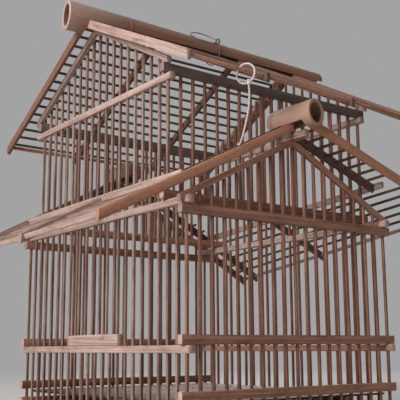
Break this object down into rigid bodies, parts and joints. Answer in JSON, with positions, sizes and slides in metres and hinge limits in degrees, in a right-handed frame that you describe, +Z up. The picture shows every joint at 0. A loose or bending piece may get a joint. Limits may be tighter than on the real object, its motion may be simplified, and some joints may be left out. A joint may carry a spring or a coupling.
{
  "type": "bird cage",
  "caption": "House-shaped bamboo bird cage in two tiers: barred body with a sliding door, barred tower, two rod roofs with bamboo ridge tubes and a wire hanging ring.",
  "frame": {"origin": "centre of the footprint on the ground, under the base rails", "axes": "+X along the upper ridge, towards the right side; +Y from the front gable to the back; +Z up"},
  "size_m": [0.556, 0.4906, 0.5536],
  "materials": {
    "pale_bamboo": "split bamboo, dry and pale on the cut faces",
    "brown_bamboo": "aged brown bamboo, matt",
    "dark_rod": "dark aged bamboo rod, matt",
    "ridge_culm": "whole bamboo culm with its skin, faint satin",
    "steel_wire": "dull steel wire",
    "cotton_cord": "twisted off-white cotton cord"
  },
  "bodies": {
    "cage": {"back_grille": "brown_bamboo", "base_rail_back": "brown_bamboo", "base_rail_front": "brown_bamboo", "base_rail_left": "pale_bamboo", "base_rail_right": "pale_bamboo", "bottom_rail_back": "brown_bamboo", "bottom_rail_front": "brown_bamboo", "cord_knot": "cotton_cord", "cord_loop": "cotton_cord", "cord_tail": "cotton_cord", "eave_rail_back": "brown_bamboo", "eave_rail_front": "brown_bamboo", "eave_rail_left": "pale_bamboo", "eave_rail_right": "pale_bamboo", "floor_slats": "dark_rod", "front_grille": "brown_bamboo", "gable_strip_back": "brown_bamboo", "gable_strip_front": "brown_bamboo", "gable_strip_left": "pale_bamboo", "gable_strip_right": "pale_bamboo", "hanger_band": "steel_wire", "left_grille": "pale_bamboo", "lower_barge_back_left": "pale_bamboo", "lower_barge_back_right": "pale_bamboo", "lower_barge_front_left": "pale_bamboo", "lower_barge_front_right": "pale_bamboo", "lower_eave_strip_left": "pale_bamboo", "lower_eave_strip_right": "pale_bamboo", "lower_ridge_pole_back": "pale_bamboo", "lower_ridge_pole_front": "pale_bamboo", "lower_ridge_tube_back": "ridge_culm", "lower_ridge_tube_front": "ridge_culm", "right_grille": "pale_bamboo", "short_rods_back_left": "dark_rod", "short_rods_back_right": "dark_rod", "short_rods_front_left": "dark_rod", "short_rods_front_right": "dark_rod", "skirt_rods_left": "dark_rod", "skirt_rods_right": "dark_rod", "tower_back_grille": "brown_bamboo", "tower_front_grille": "brown_bamboo", "tower_rail_back": "brown_bamboo", "tower_rail_front": "brown_bamboo", "tower_rail_left": "pale_bamboo", "tower_rail_right": "pale_bamboo", "upper_barge_left_back": "pale_bamboo", "upper_barge_left_front": "pale_bamboo", "upper_barge_right_back": "pale_bamboo", "upper_barge_right_front": "pale_bamboo", "upper_eave_strip_back": "pale_bamboo", "upper_eave_strip_front": "pale_bamboo", "upper_ridge_pole": "pale_bamboo", "upper_ridge_tube": "ridge_culm", "upper_rods_back": "dark_rod", "upper_rods_front": "dark_rod", "wall_plate_left": "pale_bamboo", "wall_plate_right": "pale_bamboo"},
    "door": {"sliding_door": "pale_bamboo"},
    "ring": {"hanging_ring": "steel_wire"}
  },
  "joints": [
    {"name": "door_slide", "type": "slide", "parent": "cage", "child": "door", "axis": [0, 0, 1], "range_m": [0, 0.135]},
    {"name": "ring_hinge", "type": "hinge", "parent": "cage", "child": "ring", "pos_m": [0.0305, -0.01266, 0.53973], "axis": [0, 0.788, 0.6157], "range_deg": [0, 170]}
  ]
}
